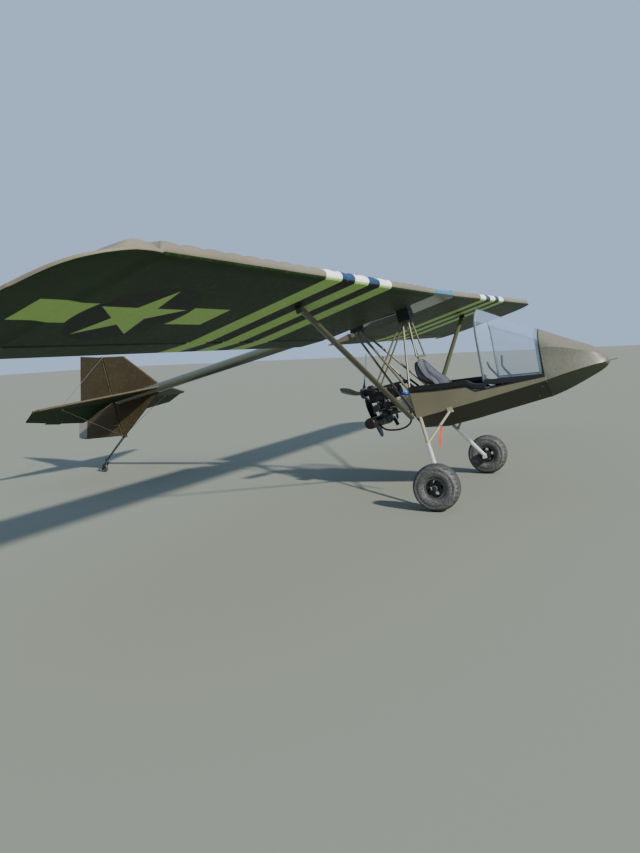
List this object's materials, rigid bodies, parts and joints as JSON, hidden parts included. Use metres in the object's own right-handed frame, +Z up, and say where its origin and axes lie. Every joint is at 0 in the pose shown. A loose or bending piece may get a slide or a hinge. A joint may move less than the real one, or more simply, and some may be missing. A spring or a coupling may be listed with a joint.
{
  "type": "ultralight aircraft",
  "caption": "Single-seat pod-and-boom ultralight with a strut-braced high wing, pusher propeller, open cockpit, fixed main gear and tail wheel.",
  "frame": {"origin": "centre of the bounding box in plan, on the plane the wheels stand on", "axes": "+X forward towards the nose, +Y to port along the span, +Z up; the aircraft stands nose-up on its main and tail wheels"},
  "size_m": [6.2263, 8.7906, 1.9003],
  "materials": {
    "olive_fabric": "matt doped fabric",
    "olive_paint": "satin",
    "bare_aluminium": "satin",
    "dark_metal": "satin",
    "olive_moulding": "satin gel coat",
    "clear_sheet": "clear polycarbonate",
    "tinted_sheet": "tinted polycarbonate",
    "seat_cloth": "woven",
    "white_plastic": "translucent tank",
    "cast_alloy": "cast",
    "black_steel": "satin black",
    "blade_black": "gloss",
    "tyre_rubber": "worn",
    "rim_black": "satin"
  },
  "bodies": {
    "airframe": {"boom_tube": "olive_paint", "cabane_front": "bare_aluminium", "cabane_rear": "bare_aluminium", "control_stick": "dark_metal", "engine_case": "cast_alloy", "engine_cylinders": "cast_alloy", "engine_mount": "dark_metal", "fin_lower": "olive_fabric", "fin_upper": "olive_fabric", "fuel_tank": "white_plastic", "gear_leg_left": "bare_aluminium", "gear_leg_right": "bare_aluminium", "muffler": "black_steel", "nose_shell": "olive_moulding", "pod_tub": "olive_moulding", "rear_bracket": "dark_metal", "rudder_pedals": "dark_metal", "seat_back": "seat_cloth", "seat_frame": "bare_aluminium", "seat_pan": "seat_cloth", "skylight": "tinted_sheet", "spar_bracket": "dark_metal", "stabiliser_left": "olive_fabric", "stabiliser_right": "olive_fabric", "strut_left": "olive_paint", "strut_right": "olive_paint", "tail_spring": "bare_aluminium", "windscreen": "clear_sheet", "windscreen_frame": "bare_aluminium", "wing_left": "olive_fabric", "wing_right": "olive_fabric"},
    "flap_left": {"flap_left": "olive_fabric"},
    "flap_right": {"flap_right": "olive_fabric"},
    "aileron_left": {"aileron_left": "olive_fabric"},
    "aileron_right": {"aileron_right": "olive_fabric"},
    "elevator": {"elevator": "olive_fabric"},
    "rudder": {"rudder": "olive_fabric"},
    "propeller": {"propeller": "blade_black"},
    "wheel_left": {"tyre_left": "tyre_rubber", "rim_left": "rim_black"},
    "wheel_right": {"tyre_right": "tyre_rubber", "rim_right": "rim_black"},
    "tail_fork": {"tail_fork": "bare_aluminium"},
    "tail_wheel": {"tail_tyre": "tyre_rubber", "tail_rim": "rim_black"}
  },
  "joints": [
    {"name": "flap_left_hinge", "type": "hinge", "parent": "airframe", "child": "flap_left", "pos_m": [0.50781, 0.29939, 1.49116], "axis": [-0.0018, 1, 0.0076], "range_deg": [-35, 0]},
    {"name": "flap_right_hinge", "type": "hinge", "parent": "airframe", "child": "flap_right", "pos_m": [0.50781, -0.29939, 1.49116], "axis": [0.0018, 1, -0.0076], "range_deg": [-35, 0]},
    {"name": "aileron_left_hinge", "type": "hinge", "parent": "airframe", "child": "aileron_left", "pos_m": [0.50462, 2.06733, 1.50467], "axis": [-0.0018, 1, 0.0076], "range_deg": [-20, 20]},
    {"name": "aileron_right_hinge", "type": "hinge", "parent": "airframe", "child": "aileron_right", "pos_m": [0.50462, -2.06733, 1.50467], "axis": [0.0018, 1, -0.0076], "range_deg": [-20, 20]},
    {"name": "elevator_hinge", "type": "hinge", "parent": "airframe", "child": "elevator", "pos_m": [-2.47918, 0, 0.87518], "axis": [0, 1, 0], "range_deg": [0, 42]},
    {"name": "rudder_hinge", "type": "hinge", "parent": "airframe", "child": "rudder", "pos_m": [-2.52395, 0, 0.8646], "axis": [-0.2299, 0, 0.9732], "range_deg": [-25, 25]},
    {"name": "propeller_spin", "type": "hinge", "parent": "airframe", "child": "propeller", "pos_m": [0.78746, 0, 0.92232], "axis": [0.9732, 0, 0.2299], "continuous": true},
    {"name": "wheel_left_spin", "type": "hinge", "parent": "airframe", "child": "wheel_left", "pos_m": [1.78805, 0.86, 0.201], "axis": [0, 1, 0], "continuous": true},
    {"name": "wheel_right_spin", "type": "hinge", "parent": "airframe", "child": "wheel_right", "pos_m": [1.78805, -0.86, 0.201], "axis": [0, 1, 0], "continuous": true},
    {"name": "tail_fork_swivel", "type": "hinge", "parent": "airframe", "child": "tail_fork", "pos_m": [-2.71883, 0, 0.14966], "axis": [-0.2299, 0, 0.9732], "range_deg": [-35, 35]},
    {"name": "tail_wheel_spin", "type": "hinge", "parent": "tail_fork", "child": "tail_wheel", "pos_m": [-2.76255, 0, 0.052], "axis": [0, 1, 0], "continuous": true}
  ],
  "couplings": [
    {"joint": "flap_right_hinge", "follows": "flap_left_hinge", "ratio": 1},
    {"joint": "aileron_right_hinge", "follows": "aileron_left_hinge", "ratio": -1}
  ]
}
